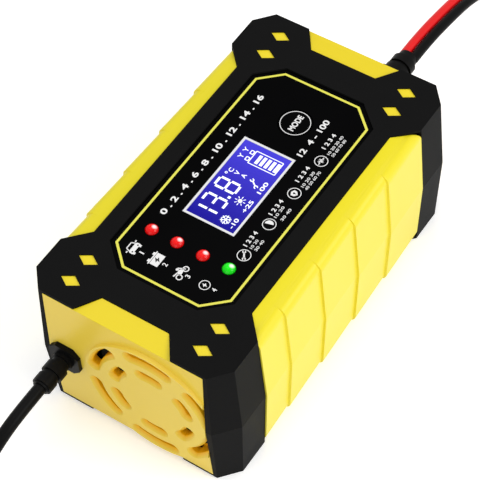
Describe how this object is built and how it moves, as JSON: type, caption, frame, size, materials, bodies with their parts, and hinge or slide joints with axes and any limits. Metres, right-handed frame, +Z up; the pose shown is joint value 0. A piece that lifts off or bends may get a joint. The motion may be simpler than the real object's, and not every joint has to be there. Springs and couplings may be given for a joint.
{
  "type": "car battery charger",
  "caption": "Box-shaped 12 V car battery charger: black frames, yellow panels, screen, four lamps, button, fan grille, mains lead with plug, red and black leads with clamps.",
  "frame": {"origin": "bottom centre of the charger's case without its leads", "axes": "+Z up out of the display side, +X across the case, +Y along its length towards the two output leads"},
  "size_m": [0.0894, 0.5479, 0.067],
  "materials": {
    "black_shell": "satin",
    "yellow_shell": "semi-gloss",
    "black_gloss": "glossy",
    "white_plastic": "matte",
    "screen_glass": "clear",
    "red_lens": "glossy",
    "green_lens": "glossy",
    "black_plastic": "matte",
    "board": "satin",
    "steel": "satin",
    "ferrite": "matte",
    "copper_wire": "enamelled copper",
    "can_sleeve": "semi-gloss",
    "bare_aluminium": "satin",
    "brass": "satin",
    "cable_black": "satin",
    "cable_red": "satin",
    "grip_red": "satin",
    "blade_metal": "bright"
  },
  "bodies": {
    "charger": {"top_frame": "black_shell", "bottom_frame": "black_shell", "side_panel_right": "yellow_shell", "side_panel_left": "yellow_shell", "end_panel_near": "yellow_shell", "end_panel_far": "yellow_shell", "corner_inlays": "yellow_shell", "display_panel": "black_gloss", "panel_border": "yellow_shell", "lcd_bezel": "white_plastic", "lcd_glass": "screen_glass", "lcd_backlight": "white_plastic", "red_led_lenses": "red_lens", "green_led_lens": "green_lens", "tact_switch": "black_plastic", "display_board": "board", "display_board_screws": "steel", "main_board": "board", "main_board_screws": "steel", "case_screws": "steel", "transformer_core": "ferrite", "transformer_bobbin": "black_plastic", "transformer_winding": "copper_wire", "input_capacitor": "can_sleeve", "output_capacitors": "can_sleeve", "heat_sink": "bare_aluminium", "power_transistors": "black_plastic", "output_choke": "ferrite", "mains_fuse": "screen_glass", "polarity_relay": "black_plastic", "board_ribbon": "cable_black", "fan_frame": "black_plastic", "fan_bearing": "brass", "fan_screws": "steel", "mains_gland": "cable_black", "output_gland": "cable_black", "mains_cord": "cable_black", "mains_coil": "cable_black", "mains_plug": "cable_black", "plug_blades": "blade_metal", "red_lead": "cable_red", "black_lead": "cable_black", "red_coil": "cable_red", "black_coil": "cable_black", "red_base_grip": "grip_red", "red_base_jaw": "steel", "red_clamp_pin": "steel", "red_clamp_spring": "steel", "black_base_grip": "black_plastic", "black_base_jaw": "steel", "black_clamp_pin": "steel", "black_clamp_spring": "steel"},
    "mode_button": {"mode_button": "black_gloss", "switch_plunger": "black_plastic"},
    "fan_rotor": {"fan_rotor": "black_plastic", "fan_shaft": "steel"},
    "red_clamp_moving": {"red_moving_grip": "grip_red", "red_moving_jaw": "steel"},
    "black_clamp_moving": {"black_moving_grip": "black_plastic", "black_moving_jaw": "steel"}
  },
  "joints": [
    {"name": "mode_button_press", "type": "slide", "parent": "charger", "child": "mode_button", "axis": [0, 0, -1], "range_m": [0, 0.0005], "stiffness_N_per_m": 600, "springref_m": -0.0005},
    {"name": "fan_spin", "type": "hinge", "parent": "charger", "child": "fan_rotor", "pos_m": [0.0108, -0.0683, 0.0321], "axis": [0, 1, 0], "continuous": true},
    {"name": "red_clamp_open", "type": "hinge", "parent": "charger", "child": "red_clamp_moving", "pos_m": [0.0064, 0.2228, 0.0159], "axis": [0, 0, 1], "range_deg": [0, 28], "stiffness_Nm_per_rad": 0.05, "springref_deg": -17.19},
    {"name": "black_clamp_open", "type": "hinge", "parent": "charger", "child": "black_clamp_moving", "pos_m": [-0.028, 0.2228, 0.0159], "axis": [0, 0, -1], "range_deg": [0, 28], "stiffness_Nm_per_rad": 0.05, "springref_deg": -17.19}
  ]
}
